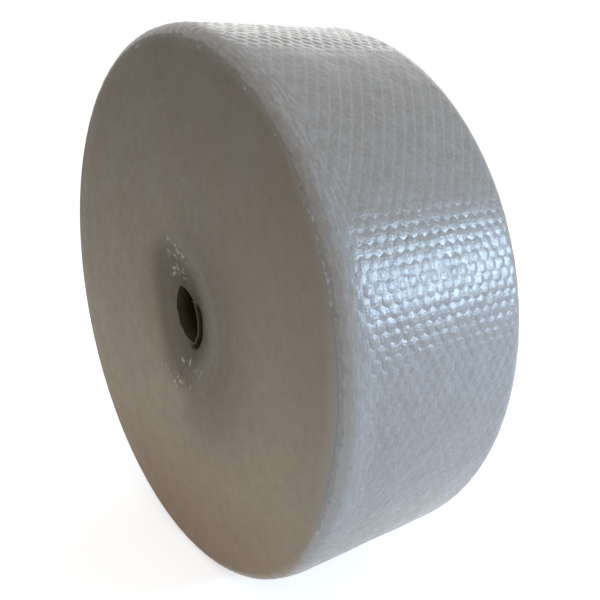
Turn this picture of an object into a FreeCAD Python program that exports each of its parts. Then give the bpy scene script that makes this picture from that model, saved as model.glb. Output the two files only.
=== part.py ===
import FreeCAD, Part
import math
import os
import Sketcher

# Bubble wrap roll, in millimetres.
# The roll's axis lies along Y, and the roll stands on a small flat spot of its tread.
# Frame: origin on the floor under the middle of the roll, +Z up, -Y towards the front end face.
# One body: the turns of a wound roll are one solid, with no core.

SIZES = (
    ("roll_width", 305, "cut width of the film, from end face to end face"),
    ("roll_diameter", 850, "across the bubbles of the outermost turn"),
    ("front_reach", 36, "length of the front shoulder along the axis"),
    ("front_slope", 12, "slope of the front shoulder, in degrees"),
    ("front_bevel", 7, "depth of the bevel between the front shoulder and the end face"),
    ("front_drop", 14, "how far the front end face's edge lies inside the tread"),
    ("back_reach", 17, "length of the back shoulder along the axis"),
    ("back_slope", 33, "slope of the back shoulder, in degrees"),
    ("back_bevel", 5, "depth of the bevel between the back shoulder and the end face"),
    ("back_drop", 16, "how far the back end face's edge lies inside the tread"),
    ("bubble_rows", 182, "rows of bubbles around the outermost turn"),
    ("valley_depth", 3, "depth of the valley between two rows of bubbles"),
    ("valley_width", 6.5, "width of that valley at the bubbles' tops"),
    ("valley_end", 3, "how far a valley stops short of each shoulder"),
    ("rim_land", 22, "plain film between the roll's edge and the first turn ridge"),
    ("dish_land", 11, "plain film between the last turn ridge and the hollow"),
    ("ridge_height", 2, "height of a turn ridge"),
    ("front_ridges", 6, "turn ridges on the front end face, evenly spread"),
    ("back_ridges", 2, "turn ridges on the back end face, at the same pitch"),
    ("dish_radius", 128, "radius of the hollow around the hole"),
    ("dish_depth", 21, "depth of that hollow at the hole"),
    ("dish_steps", 3, "straight steps that make up the hollow's curve"),
    ("lip_radius", 52, "radius of the hollow's floor"),
    ("hole_length", 92, "long way across the hole"),
    ("hole_width", 72, "short way across the hole"),
    ("hole_corner", 13, "radius of the hole's two corners"),
    ("hole_tilt", 22, "lean of the hole's long way from upright, in degrees"),
    ("tail_angle", 222, "place of the film's free end, in degrees from the top towards +X"),
    ("tail_fade", 40, "arc over which the step at the free end fades out, in degrees"),
    ("tail_step", 4, "height of the step at the free end"),
    ("flat_depth", 5.5, "how far the tread is pressed in where the roll stands"),
    ("tool_margin", 5, "how far a cut reaches past the roll"),
)

document = FreeCAD.newDocument("BubbleWrapRoll")


def make_sizes():
    """Writes the driving dimensions into a spreadsheet."""
    sheet = document.addObject("Spreadsheet::Sheet", "Sizes")
    for row, (alias, value, meaning) in enumerate(SIZES, start=1):
        sheet.set(f"A{row}", meaning)
        sheet.set(f"B{row}", str(value))
        sheet.setAlias(f"B{row}", alias)
    document.recompute()
    return sheet


sizes = make_sizes()


def number(formula):
    """The present value of a formula over the spreadsheet's cells."""
    value = sizes.evalExpression(formula)
    return float(getattr(value, "Value", value))


ROLL_RADIUS = "(Sizes.roll_diameter / 2)"
HALF_WIDTH = "(Sizes.roll_width / 2)"


# Sketch helpers

def new_sketch(body, name, plane):
    """A sketch on one of the body's own origin planes."""
    sketch = body.newObject("Sketcher::SketchObject", name)
    support = next(item for item in body.Origin.OriginFeatures if item.Role == plane)
    sketch.AttachmentSupport = [(support, "")]
    sketch.MapMode = "FlatFace"
    return sketch


def bind(sketch, name, formula, kind, *where):
    """Adds a dimension to a sketch and ties it to a formula."""
    value = number(formula)
    if kind == "Angle":
        value = math.radians(value)
        formula = f"({formula}) * 1 deg"
    index = sketch.addConstraint(Sketcher.Constraint(kind, *where, value))
    sketch.renameConstraint(index, name)
    sketch.setExpression(f"Constraints.{name}", formula)


def pin_point(sketch, name, item, end, across, up):
    """Ties a point of a sketch item to two formulas, measured from the sketch's origin."""
    bind(sketch, f"{name}_across", across, "DistanceX", -1, 1, item, end)
    bind(sketch, f"{name}_up", up, "DistanceY", -1, 1, item, end)


def pinned_outline(sketch, corners):
    """A closed outline of straight lines, each corner tied to its two formulas."""
    points = [FreeCAD.Vector(number(across), number(up), 0) for name, across, up in corners]
    lines = []
    for start, end in zip(points, points[1:] + points[:1]):
        lines.append(sketch.addGeometry(Part.LineSegment(start, end), False))
    for line, following in zip(lines, lines[1:] + lines[:1]):
        sketch.addConstraint(Sketcher.Constraint("Coincident", line, 2, following, 1))
    for line, (name, across, up) in zip(lines, corners):
        pin_point(sketch, name, line, 1, across, up)


def arc_through(centre, radius, first, last):
    """A circular arc, counter-clockwise between two angles in degrees."""
    circle = Part.Circle(FreeCAD.Vector(centre[0], centre[1], 0), FreeCAD.Vector(0, 0, 1), radius)
    return Part.ArcOfCircle(circle, math.radians(first), math.radians(last))


def cut_through(body, sketch, name):
    """Cuts a sketch through the whole body, both ways from the sketch."""
    pocket = body.newObject("PartDesign::Pocket", name)
    pocket.Profile = sketch
    pocket.Type = "ThroughAll"
    pocket.SideType = "Symmetric"
    pocket.Refine = False
    return pocket


def check_cut(before, after):
    """Stops the script if a cut has removed nothing."""
    document.recompute()
    if not after.Shape.Volume < before.Shape.Volume - 1:
        raise RuntimeError(f"{after.Name} cuts nothing")


# The wound body: its half section turned about the roll's axis

def end_face_points(name, side):
    """Points of one end face from the rim to the axis; side is -1 in front and 1 behind."""
    face = f"{side} * {HALF_WIDTH}"
    land = f"{ROLL_RADIUS} - Sizes.rim_land"
    pitch = f"({land} - Sizes.dish_radius - Sizes.dish_land) / Sizes.front_ridges"
    points = [(f"{name}_land", face, land)]
    for ridge in range(round(number(f"Sizes.{name}_ridges"))):
        sunk = f"{face} - {side} * Sizes.ridge_height"
        points.append((f"{name}_valley_{ridge}", sunk, f"{land} - {ridge + 0.5} * {pitch}"))
        points.append((f"{name}_crest_{ridge}", face, f"{land} - {ridge + 1} * {pitch}"))
    for step in range(round(number("Sizes.dish_steps")) + 1):
        share = f"{step} / Sizes.dish_steps"
        depth = f"Sizes.dish_depth * (1 - cos(180 * {share})) / 2"
        radius = f"Sizes.dish_radius - (Sizes.dish_radius - Sizes.lip_radius) * {share}"
        points.append((f"{name}_dish_{step}", f"{face} - {side} * {depth}", radius))
    points.append((f"{name}_axis", f"{face} - {side} * Sizes.dish_depth", "0"))
    return points


def shoulder_points(name, side):
    """Points of one shoulder: the tread's brow, the bevel and the end face's edge."""
    brow = f"{side} * ({HALF_WIDTH} - Sizes.{name}_reach)"
    bevel = f"{side} * ({HALF_WIDTH} - Sizes.{name}_bevel)"
    fall = f"tan(Sizes.{name}_slope) * (Sizes.{name}_reach - Sizes.{name}_bevel)"
    return [
        (f"{name}_brow", brow, ROLL_RADIUS),
        (f"{name}_bevel", bevel, f"{ROLL_RADIUS} - {fall}"),
        (f"{name}_edge", f"{side} * {HALF_WIDTH}", f"{ROLL_RADIUS} - Sizes.{name}_drop"),
    ]


def wind_roll(body):
    """Turns the half section about the roll's axis."""
    sketch = new_sketch(body, "HalfSection", "YZ_Plane")
    front = shoulder_points("front", -1) + end_face_points("front", -1)
    back = shoulder_points("back", 1) + end_face_points("back", 1)
    pinned_outline(sketch, front + list(reversed(back)))
    document.recompute()
    wound = body.newObject("PartDesign::Revolution", "WoundFilm")
    wound.Profile = sketch
    wound.ReferenceAxis = (sketch, ["H_Axis"])
    wound.Angle = 360
    wound.Refine = False
    document.recompute()
    return wound


# The hole that the winding mandrel left: two long arcs joined by two small ones

def cut_hole(body):
    """Cuts the leaning, pointed oval hole through both end faces."""
    sketch = new_sketch(body, "HoleOutline", "XZ_Plane")
    corner = number("Sizes.hole_corner")
    along = number("Sizes.hole_length / 2") - corner
    across = number("Sizes.hole_width / 2") - corner
    offset = (along ** 2 - across ** 2) / (2 * across)
    side = offset + across + corner
    spread = math.degrees(math.atan2(along, offset))
    lean = number("Sizes.hole_tilt")

    def turned(u, v):
        angle = math.radians(lean)
        return (u * math.cos(angle) - v * math.sin(angle), u * math.sin(angle) + v * math.cos(angle))

    top = sketch.addGeometry(
        arc_through(turned(0, along), corner, lean + spread, lean + 180 - spread), False)
    left = sketch.addGeometry(
        arc_through(turned(offset, 0), side, lean + 180 - spread, lean + 180 + spread), False)
    bottom = sketch.addGeometry(
        arc_through(turned(0, -along), corner, lean + 180 + spread, lean + 360 - spread), False)
    right = sketch.addGeometry(
        arc_through(turned(-offset, 0), side, lean - spread, lean + spread), False)
    long_axis = sketch.addGeometry(
        Part.LineSegment(FreeCAD.Vector(*turned(0, -along), 0), FreeCAD.Vector(*turned(0, along), 0)),
        True)

    rules = [
        ("Coincident", long_axis, 1, bottom, 3),
        ("Coincident", long_axis, 2, top, 3),
        ("Symmetric", bottom, 3, top, 3, -1, 1),
        ("Tangent", top, 2, left, 1),
        ("Tangent", left, 2, bottom, 1),
        ("Tangent", bottom, 2, right, 1),
        ("Tangent", right, 2, top, 1),
        ("Equal", top, bottom),
        ("Equal", left, right),
    ]
    for rule in rules:
        sketch.addConstraint(Sketcher.Constraint(*rule))
    long_side = "(Sizes.hole_length / 2 - Sizes.hole_corner)"
    short_side = "(Sizes.hole_width / 2 - Sizes.hole_corner)"
    bind(sketch, "corner_radius", "Sizes.hole_corner", "Radius", top)
    bind(sketch, "side_radius",
         f"({long_side} ^ 2 - {short_side} ^ 2) / (2 * {short_side}) + {short_side} + Sizes.hole_corner",
         "Radius", left)
    bind(sketch, "corner_spacing", f"2 * {long_side}", "Distance", long_axis)
    bind(sketch, "lean", "90 + Sizes.hole_tilt", "Angle", long_axis)
    document.recompute()
    return cut_through(body, sketch, "Hole")


# The free end of the film: a step in the tread that fades out upwards

def cut_tail(body):
    """Cuts the low ground that lies past the free end of the outermost turn."""
    sketch = new_sketch(body, "TailOutline", "XZ_Plane")
    outer = f"({ROLL_RADIUS} + Sizes.tool_margin)"
    shift = "(Sizes.tail_step / sin(Sizes.tail_fade))"
    crossing = "(Sizes.tail_angle + Sizes.tail_fade + 90)"
    centre = (f"{shift} * sin({crossing})", f"{shift} * cos({crossing})")
    foot = (f"({ROLL_RADIUS} - Sizes.tail_step) * sin(Sizes.tail_angle)",
            f"({ROLL_RADIUS} - Sizes.tail_step) * cos(Sizes.tail_angle)")
    head = (f"{outer} * sin(Sizes.tail_angle)", f"{outer} * cos(Sizes.tail_angle)")
    middle = [number(value) for value in centre]
    low = [number(value) for value in foot]
    high = [number(value) for value in head]
    inner_radius = math.dist(middle, low)
    outer_radius = number(outer)
    inner_start = math.degrees(math.pi + math.asin(middle[1] / inner_radius))
    inner_end = math.degrees(math.atan2(low[1] - middle[1], low[0] - middle[0])) % 360
    inner_x = middle[0] - math.sqrt(inner_radius ** 2 - middle[1] ** 2)

    inner = sketch.addGeometry(arc_through(middle, inner_radius, inner_start, inner_end), False)
    step = sketch.addGeometry(
        Part.LineSegment(FreeCAD.Vector(*low, 0), FreeCAD.Vector(*high, 0)), False)
    outside = sketch.addGeometry(
        arc_through((0, 0), outer_radius, 180, 450 - number("Sizes.tail_angle")), False)
    closing = sketch.addGeometry(
        Part.LineSegment(FreeCAD.Vector(-outer_radius, 0, 0), FreeCAD.Vector(inner_x, 0, 0)), False)
    rules = [
        ("Coincident", inner, 2, step, 1),
        ("Coincident", step, 2, outside, 2),
        ("Coincident", outside, 1, closing, 1),
        ("Coincident", closing, 2, inner, 1),
        ("Coincident", outside, 3, -1, 1),
        ("PointOnObject", closing, 1, -1),
        ("PointOnObject", closing, 2, -1),
    ]
    for rule in rules:
        sketch.addConstraint(Sketcher.Constraint(*rule))
    pin_point(sketch, "centre", inner, 3, *centre)
    pin_point(sketch, "foot", step, 1, *foot)
    pin_point(sketch, "head", step, 2, *head)
    document.recompute()
    return cut_through(body, sketch, "TailStep")


# The relief of the tread: one valley between each two rows of bubbles

def cut_valleys(body):
    """Cuts one V valley along the top, from shoulder to shoulder, and repeats it around."""
    sketch = new_sketch(body, "ValleyOutline", "XZ_Plane")
    floor = f"{ROLL_RADIUS} - Sizes.valley_depth"
    brim = f"{ROLL_RADIUS} + Sizes.tool_margin"
    half = "Sizes.valley_width / 2 * (Sizes.valley_depth + Sizes.tool_margin) / Sizes.valley_depth"
    pinned_outline(sketch, [
        ("floor", "0", floor),
        ("right", half, brim),
        ("left", f"-1 * {half}", brim),
    ])
    document.recompute()
    valley = body.newObject("PartDesign::Pocket", "Valley")
    valley.Profile = sketch
    valley.SideType = "Two sides"
    valley.setExpression("Length", f"{HALF_WIDTH} - Sizes.back_reach - Sizes.valley_end")
    valley.setExpression("Length2", f"{HALF_WIDTH} - Sizes.front_reach - Sizes.valley_end")
    valley.Refine = False
    document.recompute()
    rows = body.newObject("PartDesign::PolarPattern", "Valleys")
    rows.Originals = [valley]
    rows.Axis = (sketch, ["N_Axis"])
    rows.Angle = 360
    rows.setExpression("Occurrences", "Sizes.bubble_rows")
    rows.Refine = False
    body.Tip = rows
    return valley, rows


# The flat spot: the soft roll gives a little where it stands

def cut_flat(body):
    """Levels the lowest part of the tread."""
    sketch = new_sketch(body, "FlatOutline", "XZ_Plane")
    side = f"{ROLL_RADIUS}"
    level = f"Sizes.flat_depth - {ROLL_RADIUS}"
    below = f"-1 * ({ROLL_RADIUS} + Sizes.tool_margin)"
    pinned_outline(sketch, [
        ("low_left", f"-1 * {side}", below),
        ("low_right", side, below),
        ("high_right", side, level),
        ("high_left", f"-1 * {side}", level),
    ])
    document.recompute()
    return cut_through(body, sketch, "FlatSpot")


def build_roll():
    """Builds the roll about its own axis and stands it on the floor."""
    body = document.addObject("PartDesign::Body", "Roll")
    body.Label = "bubble_wrap_roll"
    body.setExpression(".Placement.Base.z", f"{ROLL_RADIUS} - Sizes.flat_depth")
    wound = wind_roll(body)
    hole = cut_hole(body)
    check_cut(wound, hole)
    tail = cut_tail(body)
    check_cut(hole, tail)
    valley, rows = cut_valleys(body)
    check_cut(tail, valley)
    check_cut(valley, rows)
    flat = cut_flat(body)
    body.Tip = flat
    check_cut(rows, flat)
    return body


def check_document():
    """Stops the script if any object has failed."""
    for item in document.Objects:
        if "Invalid" in item.State or "Error" in item.State:
            raise RuntimeError(f"{item.Name} failed: {item.State}")


def export(bodies):
    """Writes each finished body to a STEP file named after its node."""
    os.makedirs("parts", exist_ok=True)
    for body in bodies:
        if body.Shape.isNull() or not body.Shape.isValid():
            raise RuntimeError(f"{body.Label} has no valid shape")
        body.Shape.exportStep(f"parts/{body.Label}.step")


roll = build_roll()
document.recompute()
check_document()
export([roll])
print(f"{roll.Label}: volume {roll.Shape.Volume / 1e9:.5f} cubic metres,"
      f" {len(roll.Shape.Faces)} faces, {len(roll.Shape.Solids)} solid")
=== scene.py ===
import math

import bpy
import numpy as np
from mathutils import Matrix, Vector


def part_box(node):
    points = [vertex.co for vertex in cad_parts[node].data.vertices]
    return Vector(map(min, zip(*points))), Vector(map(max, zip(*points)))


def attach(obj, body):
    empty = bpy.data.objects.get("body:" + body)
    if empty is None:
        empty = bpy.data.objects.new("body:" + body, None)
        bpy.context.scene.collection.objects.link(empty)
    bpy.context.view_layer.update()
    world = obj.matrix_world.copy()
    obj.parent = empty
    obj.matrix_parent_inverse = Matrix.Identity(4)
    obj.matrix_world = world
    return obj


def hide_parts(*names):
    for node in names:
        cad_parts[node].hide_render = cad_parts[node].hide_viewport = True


# Looks of the bubble wrap roll. Metres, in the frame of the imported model:
# the roll's axis lies along Y and the photographed end face looks to -Y.
# Angles go around the axis, from the top towards +X.

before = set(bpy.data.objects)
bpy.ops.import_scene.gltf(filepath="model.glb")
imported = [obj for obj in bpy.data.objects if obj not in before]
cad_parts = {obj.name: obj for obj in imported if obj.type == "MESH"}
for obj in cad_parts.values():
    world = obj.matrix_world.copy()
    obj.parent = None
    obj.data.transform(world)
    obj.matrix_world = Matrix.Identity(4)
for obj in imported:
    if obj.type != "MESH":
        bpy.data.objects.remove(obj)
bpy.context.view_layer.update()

NODE = "bubble_wrap_roll"

# Main sizes, the same as those of the solid
low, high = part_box(NODE)
HALF_WIDTH = (high.y - low.y) / 2
RADIUS = 0.425
AXIS_Z = high.z - RADIUS
ROWS = 182
ROW_ANGLE = 2 * math.pi / ROWS
ROW_PITCH = RADIUS * ROW_ANGLE
ACROSS = 18
TURNS = 58

# The step at the film's free end, and how far around it fades out
TAIL_ANGLE, TAIL_FADE, TAIL_STEP, TAIL_SOFT = math.radians(222), math.radians(40), 0.004, 0.007

# The squeezed hole, a leaning oval with pointed ends, and the hollow around it
HOLE_LONG, HOLE_SHORT, HOLE_CORNER, HOLE_LEAN = 0.0465, 0.034, 0.005, math.radians(26)
DISH_OUTER, DISH_INNER, DISH_DEPTH = 0.140, 0.052, 0.021

# How far a bubble's dome stands out, and how far it reaches across and around from its middle
LIFT = 0.0009
BUBBLE_WIDE, BUBBLE_LONG = 0.0074, 0.0088

# How far the end faces' last ring is tucked under the tread's film, outwards and inwards
TUCK_OUT, TUCK_IN = 0.004, 0.0012


# Numbers and noise

def smooth(a, b, x):
    """0 below a, 1 above b and a smooth curve between them."""
    t = np.clip((x - a) / (b - a), 0, 1)
    return t * t * (3 - 2 * t)


class Noise:
    """Smooth seeded noise of two coordinates, from -1 to 1, that repeats every size steps."""

    def __init__(self, seed, size=64):
        self.size = size
        self.table = np.random.RandomState(seed).uniform(-1, 1, (size, size))

    def __call__(self, x, y):
        x, y = np.broadcast_arrays(np.asarray(x, float), np.asarray(y, float))
        column, row = np.floor(x).astype(int), np.floor(y).astype(int)
        fx, fy = x - column, y - row
        fx, fy = fx * fx * (3 - 2 * fx), fy * fy * (3 - 2 * fy)
        n = self.size
        a = self.table[row % n, column % n]
        b = self.table[row % n, (column + 1) % n]
        c = self.table[(row + 1) % n, column % n]
        d = self.table[(row + 1) % n, (column + 1) % n]
        return (a * (1 - fx) + b * fx) * (1 - fy) + (c * (1 - fx) + d * fx) * fy


CREASE = Noise(7)
BROAD = Noise(8)
TURN_A = Noise(21, 16)
TURN_B = Noise(22)
CRUMPLE = Noise(23, 32)
SWELL = Noise(24, 16)

# Steps of noise once around the roll: the noises above repeat after a whole number of their sizes
CIRCLE = 64


# The profile of the roll: the tread with its two shoulders, rounded into the end faces

# Each shoulder: distance in from the plane of its end face, drop below the tread
NEAR_EDGE = ((0, 0.055), (0.0008, 0.038), (0.0022, 0.026), (0.0042, 0.0175), (0.0075, 0.011),
             (0.014, 0.0056), (0.024, 0.0022), (0.036, 0.0004), (0.048, 0))
FAR_EDGE = ((0, 0.045), (0.0006, 0.030), (0.002, 0.021), (0.005, 0.012), (0.010, 0.0052),
            (0.017, 0.0013), (0.025, 0))

# The point of either list where the tread's pieces meet the end face's
SEAM = 3
CURVE_STEPS = 40


def curve_through(corners):
    """A smooth curve through a list of points: Catmull-Rom spans."""
    c = np.array(corners, float)
    c = np.vstack([2 * c[0] - c[1], c, 2 * c[-1] - c[-2]])
    t = np.linspace(0, 1, CURVE_STEPS, endpoint=False)[:, None]
    spans = []
    for a, b, d, e in zip(c, c[1:], c[2:], c[3:]):
        spans.append(0.5 * (2 * b + (d - a) * t + (2 * a - 5 * b + 4 * d - e) * t ** 2
                            + (3 * b - a - 3 * d + e) * t ** 3))
    return np.vstack(spans + [c[-2:-1]])


NEAR_CURVE, FAR_CURVE = curve_through(NEAR_EDGE), curve_through(FAR_EDGE)


def face_fall(radius, side):
    """How far the end face has fallen back from its plane at a radius."""
    curve = NEAR_CURVE if side < 0 else FAR_CURVE
    drop, fall = curve[:, 1][::-1], curve[:, 0][::-1]
    return np.interp(RADIUS - radius, drop, fall)


def tread_profile():
    """Distance along the film, place along the axis and drop below the tread."""
    near, far = NEAR_CURVE[SEAM * CURVE_STEPS:], FAR_CURVE[SEAM * CURVE_STEPS:][::-1]
    y = np.concatenate([-HALF_WIDTH + near[:, 0], HALF_WIDTH - far[:, 0]])
    drop = np.concatenate([near[:, 1], far[:, 1]])
    length = np.concatenate([[0], np.cumsum(np.hypot(np.diff(y), np.diff(drop)))])
    return length, y, drop


LENGTH, PROFILE_Y, PROFILE_DROP = tread_profile()
FILM_WIDTH = LENGTH[-1]
PITCH = FILM_WIDTH / ACROSS


def tail_drop(angle):
    """How far the film past the free end lies below the outermost turn."""
    past = (angle - TAIL_ANGLE) % (2 * math.pi)
    past = np.where(past > math.pi, past - 2 * math.pi, past)
    return TAIL_STEP * smooth(-TAIL_SOFT, TAIL_SOFT, past) * np.clip(1 - past / TAIL_FADE, 0, 1)


def on_tread(along, angle, lift):
    """Points on the tread: along the film's width, around the roll, and lifted off its profile."""
    step = 0.0005
    y = np.interp(along, LENGTH, PROFILE_Y)
    drop = np.interp(along, LENGTH, PROFILE_DROP)
    slope_y = np.interp(along + step, LENGTH, PROFILE_Y) - np.interp(along - step, LENGTH, PROFILE_Y)
    slope_r = np.interp(along - step, LENGTH, PROFILE_DROP) - np.interp(along + step, LENGTH, PROFILE_DROP)
    size = np.hypot(slope_y, slope_r) + 1e-9
    radius = RADIUS - drop - tail_drop(angle) + lift * slope_y / size
    y = y - lift * slope_r / size
    return np.stack([radius * np.sin(angle), y, np.maximum(AXIS_Z + radius * np.cos(angle), 0)], -1)


# Meshes

def new_piece(name, points, faces, layers, material, creases=False):
    """A smooth mesh that rides on the roll and takes its place. With creases, the edges
    between two points of height 0 are sharp, which is where the film lies between bubbles."""
    mesh = bpy.data.meshes.new(name)
    flat = np.concatenate([f.reshape(-1) for f in faces])
    totals = np.concatenate([np.full(len(f), f.shape[1]) for f in faces])
    starts = np.concatenate([[0], np.cumsum(totals)[:-1]])
    mesh.vertices.add(len(points))
    mesh.vertices.foreach_set("co", np.asarray(points, np.float32).reshape(-1))
    mesh.loops.add(len(flat))
    mesh.loops.foreach_set("vertex_index", flat.astype(np.int32))
    mesh.polygons.add(len(totals))
    mesh.polygons.foreach_set("loop_start", starts.astype(np.int32))
    mesh.polygons.foreach_set("loop_total", totals.astype(np.int32))
    mesh.update(calc_edges=True)
    mesh.validate()
    mesh.polygons.foreach_set("use_smooth", np.ones(len(mesh.polygons), bool))
    for layer, values in layers.items():
        attribute = mesh.attributes.new(layer, "FLOAT", "POINT")
        attribute.data.foreach_set("value", np.asarray(values, np.float32).reshape(-1))
    if creases:
        ends = np.empty(len(mesh.edges) * 2, np.int32)
        mesh.edges.foreach_get("vertices", ends)
        between = np.asarray(layers["height"])[ends.reshape(-1, 2)].max(axis=1) <= 0
        sharp = mesh.attributes.new("sharp_edge", "BOOLEAN", "EDGE")
        sharp.data.foreach_set("value", between)
    piece = bpy.data.objects.new(name, mesh)
    bpy.context.scene.collection.objects.link(piece)
    mesh.materials.append(material)
    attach(piece, "root")
    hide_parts(NODE)


def drop_unused(points, layers, faces):
    """Leaves out the vertices that no face uses."""
    used = np.unique(np.concatenate([f.reshape(-1) for f in faces]))
    renumber = np.full(len(points), -1)
    renumber[used] = np.arange(len(used))
    return points[used], {k: v[used] for k, v in layers.items()}, [renumber[f] for f in faces]


def merge_equal(points, layers, faces, step=2e-6):
    """Joins vertices that lie in the same place."""
    keys = np.round(points / step).astype(np.int64)
    first, inverse = np.unique(keys, axis=0, return_index=True, return_inverse=True)[1:]
    inverse = inverse.reshape(-1)
    return points[first], {k: v[first] for k, v in layers.items()}, [inverse[f] for f in faces]


def ring_numbers(rings, spokes):
    """For the quads between closed rings of points: the number of the first point of each ring
    but the last, and the places in a ring of each point and of the one after it."""
    row = np.arange(rings - 1)[:, None] * spokes
    here = np.arange(spokes)[None, :]
    after = (here + 1) % spokes
    return row, here, after


# Where the film is brown, crinkled or in a gap

# The brown of the wound edges gives way to grey over the front rim: angle in degrees, then the drop
# at the middle of the change and half its spread, in mm. Below 0 the brown reaches over the tread.
BORDER_COLOUR = ((0, 20, 13), (45, 20, 13), (88, 36, 21), (105, 33, 20), (120, 18, 13), (130, 9, 8), (140, 0, 6),
                 (150, -5, 4), (200, -5, 4), (228, 6, 8), (270, 26, 16))

# Over the tread a point further from the front than this counts as less far down, by this much a metre
BROWN_REACH, BROWN_FALL = 0.040, 0.12

# Distances from the far end face at which the brown of the back begins and is full
FAR_BROWN = (0.014, 0.001)

# Small crinkled places on the front with painted highlights: angle in degrees, then radius, half length and half
# width in mm.
# First those at the hollow, then those along the rim.
GLINTS = ((-6, 120, 11, 2.4), (3, 114, 11, 2.6), (-12, 104, 8, 2.4), (-8, 95, 12, 2.8), (1, 99, 10, 2.6),
          (9, 97, 10, 2.6), (17, 91, 8, 2.4), (-31, 70, 8, 3.6), (-24, 76, 7, 2.4), (-4, 60, 6, 3.4),
          (6, 66, 6, 2.4), (188, 80, 7, 3.0), (175, 77, 7, 3.0), (185, 113, 12, 3.0), (192, 120, 10, 2.6),
          (170, 115, 10, 2.4), (150, 96, 12, 2.2), (212, 113, 20, 1.1),
          (54.5, 403.5, 6, 2.3), (57.3, 401.2, 7, 1.9), (59.4, 404.5, 5, 2.0), (63, 402, 12, 2.1),
          (67.2, 400.8, 8, 2.5), (69.7, 403.5, 10, 2.0), (73.4, 402, 7, 2.5), (74.9, 405.5, 6, 2.8),
          (104.5, 402.6, 4, 1.5), (110, 407.0, 5, 1.5), (113, 408.5, 6, 1.4), (118, 409.5, 5, 1.5),
          (123, 409, 7, 1.3), (16, 403, 6, 1.2), (33, 402, 7, 1.2), (44, 402.5, 5, 1.3), (139, 404, 6, 1.3),
          (171, 403, 5, 1.2), (204, 402, 6, 1.2), (231, 403, 8, 1.2), (258, 402, 5, 1.3), (272, 403, 6, 1.2),
          (301, 402, 7, 1.2), (326, 403, 5, 1.3), (349, 402, 6, 1.2))

# Wider crinkled places at the hollow with weaker painted highlights, in the same measures
CRINKLED = ((-3, 104, 24, 13), (-15, 70, 16, 9), (187, 115, 22, 9), (178, 78, 13, 7), (152, 94, 16, 7))
CRINKLED_SHARE = 0.55

# The fine groove with its painted shade and the painted highlight line beside it, along the +X part of the front rim:
# radii in mm, the half width of both, the groove's depth and how strong its painted shade is, and how strong the
# painted highlight line is
GROOVE_AT, HIGHLIGHT_LINE_AT, LINE_HALF = 400.2, 403.4, 1.4
GROOVE_DEPTH, GROOVE_SHADE, HIGHLIGHT_LINE_SHARE = 0.0007, 1.2, 0.32


def warmth(angle, drop):
    """Share of the brown of the wound edges on the front: 0 to 1."""
    turn, middle, spread = np.array(BORDER_COLOUR, float).T
    degrees = np.degrees(angle) % 360
    middle = np.interp(degrees, turn, middle, period=360) / 1000
    spread = np.interp(degrees, turn, spread, period=360) / 1000
    return smooth(middle - spread, middle + spread, drop)


def stretch_around(angle, rise, fall):
    """1 on a stretch of the circle and 0 elsewhere: the degrees over which it rises and falls."""
    up = smooth(math.radians(rise[0]), math.radians(rise[1]), angle)
    return up * (1 - smooth(math.radians(fall[0]), math.radians(fall[1]), angle))


def rim_line(angle, radius, middle):
    """A fine line beside the last turns, along the +X part of the front rim, for the groove's painted shade and the
    painted highlight line: 0 to 1.
    """
    return stretch_around(angle, (68, 84), (100, 116)) * np.exp(-((radius * 1000 - middle) / LINE_HALF) ** 2)


def beside_hole(angle):
    """1 beside the hole's lower +X side, where a gap opens behind the innermost turn, and 0 elsewhere."""
    return stretch_around(angle, (48, 80), (160, 174))


def glints(angle, radius):
    """Where the film of the front end face is crinkled and carries painted highlights and painted shade: 0 to 1."""
    # The painted highlight line beside the groove
    total = HIGHLIGHT_LINE_SHARE * rim_line(angle, radius, HIGHLIGHT_LINE_AT)
    for places, share in ((GLINTS, 1), (CRINKLED, CRINKLED_SHARE)):
        for middle, r, long, wide in places:
            turned = (angle - math.radians(middle) + math.pi) % (2 * math.pi) - math.pi
            shape = np.exp(-(turned * r / long) ** 2 - ((radius * 1000 - r) / wide) ** 2)
            total = np.maximum(total, share * shape)
    return total


# Bubbles of the tread: six-sided cells in staggered rows, each with a flattened dome

# Rings of a dome: share of the way out, share of its height
RINGS = ((0.36, 0.88), (0.66, 0.58), (0.90, 0.24))
SIDE_STEPS = 3
SPOKES = 6 * SIDE_STEPS

# How full a bubble is, how many are slack and how full those are, and how bubbles tilt and shift
FULL, SLACK_SHARE, SLACK = (0.72, 1.0), 0.035, (0.25, 0.6)
TILT, SHIFT, SHIFT_LIMIT, OUT_OF_ROUND = 0.22, 0.00022, 0.00035, 0.03

# How full the bubbles stand around the roll: degrees, share
FULLNESS = ((0, 1.0), (22, 1.0), (24.5, 0.15), (50, 0.15), (60, 0.5), (66, 1.0), (86, 1.0), (100, 0.35),
            (180, 0.35), (230, 0.8))

# Distances from the plane of each end face over which the bubbles rise, and their share of height before that
NEAR_RISE, FAR_RISE, NEAR_LEFT, FAR_LEFT = (0.004, 0.05), (0.004, 0.024), 0.16, 0.15

# Height of the film's slack waves, and height and limit of the creases at the front shoulder
WAVE, CREASE_HEIGHT, CREASE_LIMIT = 0.0006, 0.0005, 0.0004

# The tread is three pieces, each under the limit of triangles: the first row of each, and the end
ARCS = (-70, -10, 51, 112)


def cell_border():
    """Points around a six-sided cell, from its middle, for a width and a row pitch of 1."""
    corners = ((0.5, 1 / 3), (0, 2 / 3), (-0.5, 1 / 3), (-0.5, -1 / 3), (0, -2 / 3), (0.5, -1 / 3))
    border = []
    for a, b in zip(corners, corners[1:] + corners[:1]):
        for k in range(SIDE_STEPS):
            border.append((a[0] + (b[0] - a[0]) * k / SIDE_STEPS, a[1] + (b[1] - a[1]) * k / SIDE_STEPS))
    return np.array(border)


BORDER = cell_border() * np.array([PITCH, ROW_PITCH])
DIRECTIONS = np.arctan2(BORDER[:, 1], BORDER[:, 0])


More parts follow.
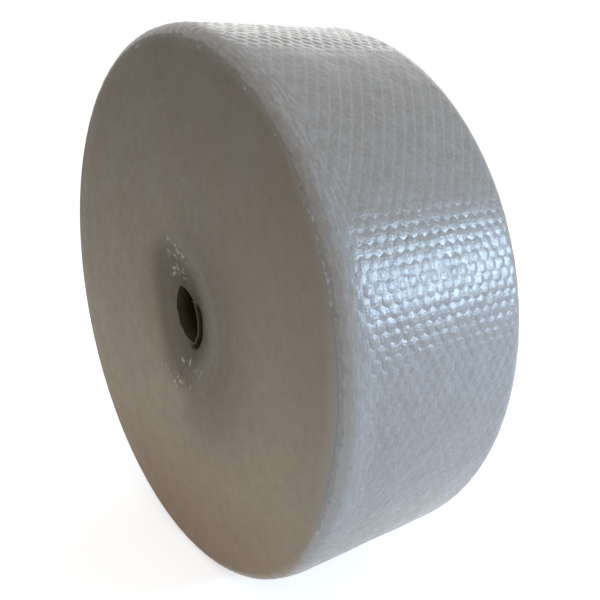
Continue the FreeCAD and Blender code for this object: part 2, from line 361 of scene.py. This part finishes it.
def one_cell(draw, half):
    """Distance across and around from the cell's middle, height and shade of its points.
    At the ends of every other row only half a cell is there: half is 1 or -1, and else 0."""
    fullness = draw.uniform(*FULL)
    if draw.uniform() < SLACK_SHARE:
        fullness *= draw.uniform(*SLACK)
    tilt_u, tilt_a = draw.normal(0, TILT, 2)
    shift_u, shift_a = np.clip(draw.normal(0, SHIFT, 2), -SHIFT_LIMIT, SHIFT_LIMIT)
    shade = draw.uniform(-1, 1)
    if half:
        shift_u = 0.0
    across, around, heights = [[shift_u]], [[shift_a]], [[fullness]]
    for share, level in RINGS:
        wobble = share * (1 + OUT_OF_ROUND * np.sin(DIRECTIONS * 3 + shade * 5))
        u = BUBBLE_WIDE * wobble * np.cos(DIRECTIONS) + shift_u
        a = BUBBLE_LONG * wobble * np.sin(DIRECTIONS) + shift_a
        across.append(u)
        around.append(a)
        heights.append(level * fullness + (tilt_u * u + tilt_a * a) / BUBBLE_LONG * level)
    across = np.concatenate(across + [BORDER[:, 0]])
    around = np.concatenate(around + [BORDER[:, 1]])
    heights = np.concatenate(heights + [np.zeros(SPOKES)])
    if half:
        across = np.maximum(across * half, 0) * half
    return across, around, heights, shade


def cell_faces(base, half):
    """Triangles and quads of a cell whose first point has the number base."""
    ring = np.arange(SPOKES)
    after = (ring + 1) % SPOKES
    if half:
        start, end = BORDER[ring, 0], BORDER[after, 0]
        on_this_half = (start + end) / 2 * half > -1e-9
        upright = (abs(start) < 1e-9) & (abs(end) < 1e-9)
        ring, after = ring[on_this_half & ~upright], after[on_this_half & ~upright]
    fan = np.stack([np.full(len(ring), base), base + 1 + ring, base + 1 + after], -1)
    bands = []
    for level in range(len(RINGS)):
        inner = base + 1 + level * SPOKES
        outer = inner + SPOKES
        bands.append(np.stack([inner + ring, outer + ring, outer + after, inner + after], -1))
    return fan, bands


def cell_block(rows, seed):
    """Points, shades and faces of all the cells in a run of rows."""
    draw = np.random.RandomState(seed)
    points, tone, triangles, quads = [], [], [], []
    base = 0
    for row in rows:
        odd = row % 2
        count = ACROSS + odd
        for k in range(count):
            half = 0
            if odd and k in (0, count - 1):
                half = 1 if k == 0 else -1
            u, a, height, shade = one_cell(draw, half)
            middle_u = (k + (0 if odd else 0.5)) * PITCH
            middle_a = (row + 0.5) * ROW_ANGLE
            points.append(np.stack([middle_u + u, middle_a + a / RADIUS, height], -1))
            tone.append(np.full(len(u), shade))
            fan, bands = cell_faces(base, half)
            triangles.append(fan)
            quads.extend(bands)
            base += len(u)
    return np.concatenate(points), np.concatenate(tone), np.concatenate(triangles), np.concatenate(quads)


def film_lift(along, angle, height):
    """Lift of the film: bubbles pressed flatter at the shoulders, slack waves and creases."""
    y = np.interp(along, LENGTH, PROFILE_Y)
    near = smooth(-HALF_WIDTH + NEAR_RISE[0], -HALF_WIDTH + NEAR_RISE[1], y)
    far = 1 - smooth(HALF_WIDTH - FAR_RISE[1], HALF_WIDTH - FAR_RISE[0], y)
    strength = (NEAR_LEFT + (1 - NEAR_LEFT) * near) * (FAR_LEFT + (1 - FAR_LEFT) * far)
    strength = strength * np.interp(np.degrees(angle) % 360, *np.array(FULLNESS).T, period=360)
    around = angle * RADIUS
    wave = WAVE * (BROAD(around / 0.045, y / 0.06) + 0.5 * BROAD(around / 0.017 + 9, y / 0.03))
    crease = CREASE_HEIGHT * (1 - np.abs(CREASE(around / 0.010, y / 0.016 + around / 0.05)) * 2)
    creased = np.minimum((1 - near) * crease, CREASE_LIMIT) - CREASE_LIMIT * (1 - near)
    return (height - 1) * LIFT * strength + (wave - WAVE) * near * far + creased


def build_tread(material):
    """The tread with both shoulders, in arcs."""
    for number, (first, last) in enumerate(zip(ARCS, ARCS[1:])):
        cells, tone, triangles, quads = cell_block(range(first, last), 100 + number)
        along, angle, height = np.clip(cells[:, 0], 0, FILM_WIDTH), cells[:, 1], cells[:, 2]
        points = on_tread(along, angle, film_lift(along, angle, height))
        y = np.interp(along, LENGTH, PROFILE_Y)
        drop = np.interp(along, LENGTH, PROFILE_DROP)
        front = y < 0
        beyond = np.maximum(y + HALF_WIDTH - BROWN_REACH, 0)
        warm = warmth(angle % (2 * math.pi), drop - BROWN_FALL * beyond) * front
        warm = np.maximum(warm, smooth(HALF_WIDTH - FAR_BROWN[0], HALF_WIDTH - FAR_BROWN[1], y))
        # The crinkles' mask of painted highlights along the front rim
        layers = {"warm": warm, "height": np.clip(height, 0, 1), "tone": tone, "painted_shade": np.zeros(len(tone)),
                  "around": angle * RADIUS, "across": along,
                  "crinkle_and_glint": glints(angle, RADIUS - drop) * front}
        points, layers, faces = merge_equal(*drop_unused(points, layers, [triangles, quads]))
        new_piece(f"tread_film_{number + 1}", points, faces, layers, material, creases=True)


# End faces: the edges of the turns around the squeezed hole

def hole_edge(angle):
    """Distance from the axis to the hole's edge: two flat arcs that meet in two small ones."""
    along = HOLE_LONG - HOLE_CORNER
    across = HOLE_SHORT - HOLE_CORNER
    offset = (along ** 2 - across ** 2) / (2 * across)
    side = offset + across + HOLE_CORNER
    turned = angle + HOLE_LEAN
    x, z = np.abs(np.sin(turned)), np.abs(np.cos(turned))
    arc = -offset * x + np.sqrt(np.maximum(side ** 2 - (offset * z) ** 2, 0))
    tip = along * z + np.sqrt(np.maximum(HOLE_CORNER ** 2 - (along * x) ** 2, 0))
    on_arc = np.arctan2(arc * z, arc * x + offset) <= math.atan2(along, offset)
    return np.where(on_arc, arc, tip)


def face_depth(radius):
    """Depth of the hollow around the hole."""
    t = np.clip((DISH_OUTER - radius) / (DISH_OUTER - DISH_INNER), 0, 1)
    return DISH_DEPTH * (1 - np.cos(math.pi * t)) / 2


# The gap behind the innermost turn: its depth, and distances from the hole over which it opens and closes
GAP_DEPTH, GAP_OPENS, GAP_CLOSES = 0.018, (0.0, 0.003), (0.008, 0.012)

# The painted shade of an oval around the hole: its lean, how much narrower it is than high, the radii at which its
# outer and inner painted shade fade, and their strength (the inner one is stronger on the +X side by the last number)
OVAL_LEAN, OVAL_NARROW, OUTER_FADE, INNER_FADE = 0.2, 1.35, (0.098, 0.146), (0.050, 0.098)
OUTER_SHADE, INNER_SHADE, INNER_MORE = 0.55, 0.36, 0.16

# The broad soft painted shade on the +X side of it: middle, how much higher it is than wide, the distances
# over which it fades, where it begins along X, and its strength
SIDE_MIDDLE, SIDE_HIGH, SIDE_FADE, SIDE_BEGINS, SIDE_SHADE = (0.07, -0.02), 1.3, (0.04, 0.19), (-0.02, 0.04), 0.46

# How uneven an end face is: each turn's bead, its offset and its two wanders, the two sizes of crumple near
# the hole, the broad swell, the raise of crinkles that carry painted highlights, and how far all but that is sunk
# below the face's plane
BEAD, TURN_OFFSET, WANDER, CRUMPLES = 0.00008, 0.00004, (0.00012, 0.00006), (0.0006, 0.00015)
SWELLING, GLINT_HEIGHT, SUNK = 0.0012, 0.0005, 0.0014

# Radii over which the crumples fade, and the width of the smooth band at the rim
CRUMPLED_TO, FADE_WIDTH = (0.070, 0.135), 0.012

# The share of the way out from the hole at which the rings are round, and the radius at which the distance
# around a face is measured for its material
ROUND_AT, FACE_MIDDLE = 0.42, 0.2


def turn_gap(angle, beyond):
    """The gap behind the innermost turn, at a distance from the hole's edge."""
    return -GAP_DEPTH * beside_hole(angle) * smooth(*GAP_OPENS, beyond) * (1 - smooth(*GAP_CLOSES, beyond))


def painted_shade_at(angle, radius, side):
    """Painted shade of a place on the face, by how far it lies out of the light: 0 on the flat, 1 at the hole, 2 in a
    gap.
    """
    turned = angle + OVAL_LEAN
    oval = radius * np.hypot(np.cos(turned), OVAL_NARROW * np.sin(turned))
    inner = (INNER_SHADE + INNER_MORE * np.sin(angle)) * (1 - smooth(*INNER_FADE, oval))
    painted_shade = OUTER_SHADE * (1 - smooth(*OUTER_FADE, oval)) + inner
    if side < 0:
        x, z = radius * np.sin(angle), radius * np.cos(angle)
        away = np.hypot(x - SIDE_MIDDLE[0], (z - SIDE_MIDDLE[1]) / SIDE_HIGH)
        painted_shade = np.maximum(painted_shade, SIDE_SHADE * smooth(*SIDE_BEGINS, x) * (1 - smooth(*SIDE_FADE, away)))
        # Deeper painted shade in the gap behind the innermost turn
        painted_shade = painted_shade + beside_hole(angle) * (1 - smooth(*GAP_CLOSES, radius - hole_edge(angle)))
        # Painted shade in the fine groove at the front rim
        painted_shade = painted_shade + GROOVE_SHADE * rim_line(angle, radius, GROOVE_AT)
    return painted_shade


def end_face(name, side, per_turn, spokes, seed, material):
    """One end face: side is -1 in front and 1 behind."""
    front = side < 0
    edge_radius = RADIUS - (NEAR_EDGE if front else FAR_EDGE)[SEAM][1]
    angle = np.arange(spokes) * 2 * math.pi / spokes
    steps = TURNS * per_turn
    angle_grid, share_grid = np.meshgrid(angle, np.linspace(0, 1, steps + 1))

    # The rings follow the hole's form at its edge and are round further out
    blend = smooth(0, ROUND_AT, share_grid)
    start = hole_edge(angle)[None, :] * (1 - blend) + (HOLE_LONG + HOLE_SHORT) / 2 * blend
    radius = start + (edge_radius - start) * share_grid

    # Each turn is a fine bead that stands a little further out or in than the next one
    draw = np.random.RandomState(seed)
    offsets = draw.normal(0, TURN_OFFSET, TURNS)
    sizes = draw.uniform(0.2, 1.0, TURNS) ** 2
    index = np.clip(np.floor(share_grid * TURNS).astype(int), 0, TURNS - 1)
    line = sizes[index] * np.sin(math.pi * (share_grid * TURNS - index))
    circle = angle_grid * CIRCLE / (2 * math.pi)
    wander = TURN_A(circle / 4, index * 3.7 + seed) * WANDER[0] + TURN_B(circle * 2, index * 5.3 + seed) * WANDER[1]
    out = BEAD * line + offsets[index] + wander

    # The film is crumpled near the hole, and the whole face is slightly uneven
    crumple = (CRUMPLE(circle / 2, radius / 0.013) * CRUMPLES[0]
               + CRUMPLE(circle * 2 + 11, radius / 0.006 + 5) * CRUMPLES[1])
    out = out + crumple * (1 - smooth(*CRUMPLED_TO, radius)) + SWELL(circle / 4, radius / 0.07) * SWELLING
    fade = 1 - smooth(edge_radius - FADE_WIDTH, edge_radius, radius)
    height = -face_depth(radius) - face_fall(radius, side) + (out - SUNK) * fade
    warm, crinkle_and_glint = np.ones(radius.shape), np.zeros(radius.shape)
    # On the front the crinkles carry painted highlights and painted shade, and a small raise
    if front:
        warm, crinkle_and_glint = warmth(angle_grid, RADIUS - radius), glints(angle_grid, radius)
        height = height + crinkle_and_glint * GLINT_HEIGHT - rim_line(angle_grid, radius, GROOVE_AT) * GROOVE_DEPTH
        height = height + turn_gap(angle_grid, radius - hole_edge(angle)[None, :])
    points = np.stack([radius * np.sin(angle_grid), side * (HALF_WIDTH + height),
                       np.maximum(AXIS_Z + radius * np.cos(angle_grid), 0)], -1).reshape(-1, 3)

    # One more ring is tucked under the edge of the tread's film
    tuck_radius = edge_radius + TUCK_OUT
    tuck_y = side * (HALF_WIDTH - face_fall(tuck_radius, side) - TUCK_IN)
    tuck = np.stack([tuck_radius * np.sin(angle), np.full(spokes, tuck_y),
                     np.maximum(AXIS_Z + tuck_radius * np.cos(angle), 0)], -1)

    row, here, after = ring_numbers(steps + 2, spokes)
    quads = np.stack([row + here, row + after, row + spokes + after, row + spokes + here], -1).reshape(-1, 4)
    if not front:
        quads = quads[:, ::-1]
    layers = {"height": line, "tone": offsets[index] / (5 * TURN_OFFSET), "painted_shade": painted_shade_at(angle_grid, radius, side),
              "crinkle_and_glint": crinkle_and_glint, "around": angle_grid * FACE_MIDDLE, "across": radius - edge_radius}
    layers = {key: np.concatenate([values.reshape(-1), np.zeros(spokes)]) for key, values in layers.items()}
    layers["warm"] = np.concatenate([warm.reshape(-1), warm[-1]])
    new_piece(name, np.concatenate([points, tuck]), [quads], layers, material)


def inner_turn(material):
    """The innermost turn, a thin film that stands away from the next one on the +X side."""
    columns, rows = 90, 24
    thickness, reach, flare, inset, sunk, waviness = 0.0009, 0.05, 0.0022, 0.0006, 0.0004, 0.0006
    angle, inward = np.meshgrid(np.radians(np.linspace(38, 178, columns)), np.linspace(0, 1, rows))
    share = np.meshgrid(np.linspace(0, 1, columns), np.zeros(rows))[0]
    taper = np.sin(math.pi * share) ** 0.5
    edge = hole_edge(angle) - inset + flare * taper * (1 - inward) ** 2
    lip = -HALF_WIDTH + DISH_DEPTH + sunk - flare * taper + waviness * TURN_A(angle * 6, 3.0)
    y = lip + inward * reach
    sheets = []
    for offset in (0, thickness):
        radius = edge + offset
        sheets.append(np.stack([radius * np.sin(angle), y, AXIS_Z + radius * np.cos(angle)], -1).reshape(-1, 3))
    points = np.concatenate(sheets)

    # Faces of the inner side, the outer side and the rim between them
    sheet = columns * rows
    row = np.arange(rows - 1)[:, None] * columns
    column = np.arange(columns - 1)[None, :]
    inside = np.stack([row + column, row + columns + column, row + columns + column + 1, row + column + 1], -1)
    inside = inside.reshape(-1, 4)
    outside = inside[:, ::-1] + sheet
    border = list(range(columns)) + [columns * (k + 1) - 1 for k in range(1, rows)]
    border += [sheet - 1 - k for k in range(1, columns)] + [columns * k for k in range(rows - 2, 0, -1)]
    rim = [(a, b, b + sheet, a + sheet) for a, b in zip(border, border[1:] + border[:1])]

    # Painted shade over the whole turn, lighter at its lit lip
    lit = smooth(0.9, 1.0, 1 - np.concatenate([inward.reshape(-1)] * 2))
    layers = {"warm": np.ones(len(points)), "height": np.ones(len(points)), "tone": np.zeros(len(points)),
              "painted_shade": 1.4 - 0.75 * lit}
    new_piece("inner_turn", points, [inside, outside, np.array(rim)], layers, material)


def tunnel(material):
    """The wall of the hole, from one end face to the other."""
    spokes, rings = 160, 60
    sunk, waviness, wave_length = 0.0018, 0.0012, 0.03
    angle = np.arange(spokes) * 2 * math.pi / spokes
    angle_grid, share_grid = np.meshgrid(angle, np.linspace(0, 1, rings + 1))
    depth = DISH_DEPTH + sunk
    y = -HALF_WIDTH + depth + share_grid * 2 * (HALF_WIDTH - depth)
    ease = np.minimum(smooth(0, 0.06, share_grid), smooth(1, 0.94, share_grid))
    wander = TURN_A(angle_grid * CIRCLE / (2 * math.pi) / 4, y / wave_length)
    radius = hole_edge(angle)[None, :] + ease * waviness * wander
    points = np.stack([radius * np.sin(angle_grid), y, AXIS_Z + radius * np.cos(angle_grid)], -1).reshape(-1, 3)
    row, here, after = ring_numbers(rings + 1, spokes)
    quads = np.stack([row + here, row + spokes + here, row + spokes + after, row + after], -1).reshape(-1, 4)
    # Painted shade on the hole's wall, darkest away from its ends
    inward = smooth(0, 0.10, share_grid) * (1 - smooth(0.90, 1, share_grid))
    layers = {"warm": np.ones(len(points)), "height": np.full(len(points), 0.4), "tone": np.zeros(len(points)),
              "painted_shade": 1 + inward.reshape(-1)}
    new_piece("hole_wall", points, [quads], layers, material)


# Materials

# The tread's grey high up and low down, a painted gradient of light that is darker high up and lighter low down, and
# what is mixed into it
GREY_HIGH, GREY_LOW = (0.172, 0.146, 0.118, 1), (0.192, 0.171, 0.161, 1)
# Random tone of the bubbles, the painted highlight of the lines between them, and the painted light of the front
# shoulder
BUBBLE_SHADE, BUBBLE_GAP_HIGHLIGHT, SHOULDER_PAINTED_LIGHT = (0.27, 0.27, 0.27, 1), (0.38, 0.365, 0.34, 1), (0.40, 0.395, 0.39, 1)
MOTTLE, GRAIN, STREAK = (0.29, 0.28, 0.27, 1), (0.30, 0.30, 0.30, 1), (0.36, 0.36, 0.36, 1)

# The wound edges' brown high up and low down, a painted gradient of light that is lighter low down, and what is mixed
# into it
BROWN_HIGH, BROWN_LOW, BROWN_FOOT = (0.170, 0.138, 0.103, 1), (0.448, 0.372, 0.274, 1), (0.305, 0.192, 0.120, 1)
TURN_EDGE, BROWN_CLOUD, BROWN_SPOT = (0.34, 0.31, 0.27, 1), (0.26, 0.235, 0.205, 1), (0.14, 0.12, 0.10, 1)
# Painted shade of the hollow and of a gap
HOLLOW_PAINTED_SHADE, GAP_PAINTED_SHADE = (0.052, 0.037, 0.022, 1), (0.030, 0.014, 0.004, 1)

# On both: a haze, and the painted highlight and painted shade of the crinkles' facets
HAZE, CRINKLE_PAINTED_HIGHLIGHT, CRINKLE_PAINTED_SHADE = (0.62, 0.62, 0.62, 1), (0.62, 0.60, 0.57, 1), (0.070, 0.058, 0.046, 1)


def film_material(name, specular, coat, smoothest, roughest, edge_specular=None):
    """Milky film: cool grey on the tread, warm grey-brown on the wound edges, where
    edge_specular takes the place of specular."""
    material = bpy.data.materials.new(name)
    material.use_nodes = True
    nodes, links = material.node_tree.nodes, material.node_tree.links
    shader = nodes["Principled BSDF"]

    def node(kind, **values):
        item = nodes.new(kind)
        for key, value in values.items():
            setattr(item, key, value)
        return item

    def layer(attribute_name):
        return node("ShaderNodeAttribute", attribute_name=attribute_name).outputs["Fac"]

    def mix(factor, a, b):
        item = node("ShaderNodeMix", data_type="RGBA")
        for socket, value in (("Factor", factor), ("A", a), ("B", b)):
            target = [s for s in item.inputs if s.name == socket and s.enabled][0]
            if isinstance(value, tuple):
                target.default_value = value
            else:
                links.new(value, target)
        return [s for s in item.outputs if s.enabled][0]

    def noise(scale, detail=3.0, rough=0.5, stretch=(1, 1, 1), place=None):
        mapping = node("ShaderNodeMapping")
        mapping.inputs["Scale"].default_value = stretch
        links.new(place or position, mapping.inputs["Vector"])
        item = node("ShaderNodeTexNoise")
        item.inputs["Scale"].default_value = scale
        item.inputs["Detail"].default_value = detail
        item.inputs["Roughness"].default_value = rough
        links.new(mapping.outputs["Vector"], item.inputs["Vector"])
        return item.outputs["Fac"]

    def remap(value, from_low, from_high, to_low, to_high):
        item = node("ShaderNodeMapRange")
        for socket, number in (("From Min", from_low), ("From Max", from_high),
                               ("To Min", to_low), ("To Max", to_high)):
            item.inputs[socket].default_value = number
        links.new(value, item.inputs["Value"])
        return item.outputs["Result"]

    def math_node(operation, a, b=None):
        item = node("ShaderNodeMath", operation=operation)
        for socket, value in zip(item.inputs, (a, b)):
            if isinstance(value, (int, float)):
                socket.default_value = value
            elif value is not None:
                links.new(value, socket)
        return item.outputs[0]

    def times(a, b):
        return math_node("MULTIPLY", a, b)

    def bump(strength, distance, height, normal=None):
        item = node("ShaderNodeBump")
        item.inputs["Strength"].default_value = strength
        item.inputs["Distance"].default_value = distance
        links.new(height, item.inputs["Height"])
        if normal is not None:
            links.new(normal, item.inputs["Normal"])
        return item.outputs["Normal"]

    position = node("ShaderNodeTexCoord").outputs["Object"]
    warm, height, tone, painted_shade = layer("warm"), layer("height"), layer("tone"), layer("painted_shade")
    around, across, crinkle_and_glint = layer("around"), layer("across"), layer("crinkle_and_glint")
    film_place = node("ShaderNodeCombineXYZ")
    links.new(around, film_place.inputs["X"])
    links.new(across, film_place.inputs["Y"])
    film_place = film_place.outputs["Vector"]
    upward = node("ShaderNodeSeparateXYZ")
    links.new(position, upward.inputs[0])
    upward = upward.outputs["Z"]

    # The tread: slanting painted highlight lines between the bubbles high up, and painted light at the front shoulder
    # Painted shade high up and painted light low down
    cool = mix(remap(upward, 0.74, 0.40, 0, 1), GREY_HIGH, GREY_LOW)
    cool = mix(remap(tone, -1, 1, 0, 0.10), cool, BUBBLE_SHADE)
    # Painted highlight lines between the bubbles, stronger high up
    line = math_node("ADD", times(across, 1 / PITCH), times(around, 0.5 / ROW_PITCH))
    line = math_node("ABSOLUTE", math_node("SUBTRACT", math_node("FRACT", math_node("ADD", line, 0.25)), 0.5))
    line = times(remap(line, 0.04, 0.16, 0.22, 0), remap(across, 0.030, 0.060, 0, 1))
    cool = mix(times(line, remap(upward, 0.58, 0.70, 0.15, 1)), cool, BUBBLE_GAP_HIGHLIGHT)
    # Painted light on the front shoulder, stronger low down
    light_at_shoulder = times(remap(across, 0.0, 0.050, 0.85, 0), remap(upward, 0.66, 0.36, 0.2, 1))
    cool = mix(light_at_shoulder, cool, SHOULDER_PAINTED_LIGHT)
    cool = mix(remap(noise(48, 3.0), 0.40, 0.66, 0, 0.22), cool, MOTTLE)
    cool = mix(remap(noise(230, 2.0, 0.6), 0.42, 0.66, 0, 0.30), cool, GRAIN)
    streaks = remap(noise(1.0, 2.0, 0.5, (50, 240, 1), film_place), 0.48, 0.66, 0, 0.4)
    cool = mix(times(streaks, remap(across, 0.030, 0.060, 1, 0.12)), cool, STREAK)

    # The wound edges: lighter low down as painted light from below and redder at the bottom, with painted shade in
    # the hollow and deeper painted shade in a gap
    brown = mix(remap(upward, 0.80, 0.05, 0, 1), BROWN_HIGH, BROWN_LOW)
    brown = mix(remap(height, 0.3, 1, 0, 0.07), brown, TURN_EDGE)
    brown = mix(remap(upward, 0.24, 0.0, 0, 1.0), brown, BROWN_FOOT)
    brown = mix(remap(noise(9, 2.0), 0.35, 0.65, 0, 0.15), brown, BROWN_CLOUD)
    brown = mix(remap(noise(55, 3.0), 0.38, 0.68, 0, 0.12), brown, BROWN_SPOT)
    # Painted shade in the hollow and deeper painted shade in a gap
    brown = mix(remap(painted_shade, 0, 1, 0, 0.92), brown, HOLLOW_PAINTED_SHADE)
    brown = mix(remap(painted_shade, 1, 2, 0, 0.94), brown, GAP_PAINTED_SHADE)

    # Both together, with a haze and the painted highlights and painted shade on the facets of the crinkles
    base = mix(warm, cool, brown)
    base = mix(remap(noise(160, 3.0), 0.55, 0.85, 0, 0.08), base, HAZE)
    facets = noise(115, 1.0)
    base = mix(times(crinkle_and_glint, remap(facets, 0.50, 0.62, 0, 0.85)), base, CRINKLE_PAINTED_HIGHLIGHT)
    base = mix(times(crinkle_and_glint, remap(facets, 0.47, 0.36, 0, 0.30)), base, CRINKLE_PAINTED_SHADE)
    links.new(base, shader.inputs["Base Color"])

    links.new(remap(noise(70, 3.0), 0.3, 0.7, smoothest, roughest), shader.inputs["Roughness"])
    shader.inputs["Specular IOR Level"].default_value = specular
    if edge_specular is not None:
        links.new(remap(warm, 0, 1, specular, edge_specular), shader.inputs["Specular IOR Level"])
    shader.inputs["IOR"].default_value = 1.5
    shader.inputs["Coat Weight"].default_value = coat
    shader.inputs["Coat Roughness"].default_value = 0.12

    # Fine grain, and the film's small creases along its rows, its columns and its turns
    calm = times(remap(warm, 0, 1, 1, 0.35), remap(upward, 0.60, 0.74, 1, 0.4))
    fine = bump(0.50, 0.0010, times(noise(260, 4.0, 0.6), calm))
    rows = noise(1.0, 3.0, 0.6, (330, 70, 1), film_place)
    columns = noise(1.0, 2.0, 0.5, (95, 270, 1), film_place)
    turns = noise(1.0, 2.0, 0.5, (60, 300, 1), film_place)
    rows = math_node("ADD", times(rows, 0.7), times(columns, 0.8))
    drawn_tight = math_node("MAXIMUM", remap(upward, 0.57, 0.66, 1, 0.30), remap(upward, 0.800, 0.815, 0.30, 1))
    rows = times(times(rows, drawn_tight), remap(upward, 0.06, 0.30, 0.35, 1))
    texture = math_node("ADD", times(rows, remap(warm, 0, 0.9, 1, 0)), times(turns, remap(warm, 0.5, 1, 0, 0.40)))
    links.new(bump(0.45, 0.0012, texture, fine), shader.inputs["Normal"])
    return material


build_tread(film_material("bubble_film", specular=0.60, coat=0.06, smoothest=0.26, roughest=0.38, edge_specular=0.10))
edges = film_material("bubble_film_edges", specular=0.12, coat=0, smoothest=0.45, roughest=0.60)
end_face("near_end_face", side=-1, per_turn=4, spokes=400, seed=3, material=edges)
end_face("far_end_face", side=1, per_turn=3, spokes=320, seed=5, material=edges)
inner_turn(edges)
tunnel(film_material("bubble_film_hole", specular=0.02, coat=0, smoothest=0.45, roughest=0.60))


# Floor, background and light

def seen_or_reflected(nodes, links):
    """1 for the camera's rays and for what is seen in or through a surface, and 0 for other light."""
    path = nodes.new("ShaderNodeLightPath")
    result = path.outputs["Is Camera Ray"]
    for ray in ("Is Glossy Ray", "Is Transmission Ray"):
        larger = nodes.new("ShaderNodeMath")
        larger.operation = "MAXIMUM"
        links.new(result, larger.inputs[0])
        links.new(path.outputs[ray], larger.inputs[1])
        result = larger.outputs[0]
    return result


def make_floor(half_size, grey, glow, below):
    """A large pale floor, matt, with some light of its own for the eye and for reflections only."""
    material = bpy.data.materials.new("floor_paint")
    material.use_nodes = True
    nodes, links = material.node_tree.nodes, material.node_tree.links
    shader = nodes["Principled BSDF"]
    shader.inputs["Base Color"].default_value = (grey, grey, grey, 1)
    shader.inputs["Roughness"].default_value = 0.9
    shader.inputs["Emission Color"].default_value = (1, 1, 1, 1)
    scaled = nodes.new("ShaderNodeMath")
    scaled.operation = "MULTIPLY"
    scaled.inputs[1].default_value = glow
    links.new(seen_or_reflected(nodes, links), scaled.inputs[0])
    links.new(scaled.outputs[0], shader.inputs["Emission Strength"])

    mesh = bpy.data.meshes.new("floor")
    corners = [(x * half_size, y * half_size, 0) for x, y in ((-1, -1), (1, -1), (1, 1), (-1, 1))]
    mesh.from_pydata(corners, [], [(0, 1, 2, 3)])
    mesh.materials.append(material)
    floor = bpy.data.objects.new("floor", mesh)
    bpy.context.scene.collection.objects.link(floor)
    floor.location.z = -below


def make_world(fill):
    """White to the eye and in reflections, a plain grey fill for everything else."""
    world = bpy.data.worlds.new("studio")
    bpy.context.scene.world = world
    world.use_nodes = True
    nodes, links = world.node_tree.nodes, world.node_tree.links
    background = nodes["Background"]
    background.inputs["Color"].default_value = (1, 1, 1, 1)
    strength = nodes.new("ShaderNodeMapRange")
    strength.inputs["To Min"].default_value = fill
    strength.inputs["To Max"].default_value = 1.0
    links.new(seen_or_reflected(nodes, links), strength.inputs["Value"])
    links.new(strength.outputs["Result"], background.inputs["Strength"])


def area_lamp(name, direction, distance, size, size_y, watts, colour=(1, 1, 1)):
    """A soft lamp in a direction from the roll's middle, facing it."""
    lamp = bpy.data.lights.new(name, "AREA")
    lamp.shape = "RECTANGLE"
    lamp.size, lamp.size_y = size, size_y
    lamp.energy = watts
    lamp.color = colour
    thing = bpy.data.objects.new(name, lamp)
    bpy.context.scene.collection.objects.link(thing)
    way = Vector(direction).normalized()
    thing.location = Vector((0, 0, AXIS_Z)) + way * distance
    thing.rotation_euler = way.to_track_quat("Z", "Y").to_euler()


def make_camera(azimuth, elevation, place, lens, shift_y):
    """The photograph's viewpoint, fitted to the roll's outline."""
    azimuth, elevation = math.radians(azimuth), math.radians(elevation)
    back = Vector((math.sin(azimuth) * math.cos(elevation), -math.cos(azimuth) * math.cos(elevation),
                   math.sin(elevation)))
    right = Vector((math.cos(azimuth), math.sin(azimuth), 0))
    up = back.cross(right)
    data = bpy.data.cameras.new("camera")
    data.lens = lens
    data.sensor_width = 36
    data.shift_y = shift_y
    data.clip_end = 60
    camera = bpy.data.objects.new("camera", data)
    bpy.context.scene.collection.objects.link(camera)
    camera.location = place
    camera.rotation_euler = Matrix((right, up, back)).transposed().to_euler()
    bpy.context.scene.camera = camera


make_floor(half_size=14.0, grey=0.82, glow=0.60, below=0.0004)
make_world(fill=0.52)
area_lamp("window", (0.798, 0.592, 0.225), distance=2.6, size=0.84, size_y=0.44, watts=56, colour=(0.52, 0.74, 1.0))
area_lamp("side", (0.90, -0.42, 0.10), distance=3.0, size=2.0, size_y=0.8, watts=7, colour=(0.94, 0.97, 1.0))
area_lamp("behind", (-0.5625, 0.656, 0.503), distance=2.67, size=1.8, size_y=1.1, watts=9)
area_lamp("soft_top", (0.2, -0.2, 1.0), distance=2.6, size=2.4, size_y=2.4, watts=6)
make_camera(azimuth=54.060, elevation=19.151, place=(0.9957, -0.6348, 0.7760), lens=44.331, shift_y=0.05)
bpy.context.scene.view_settings.view_transform = "Standard"
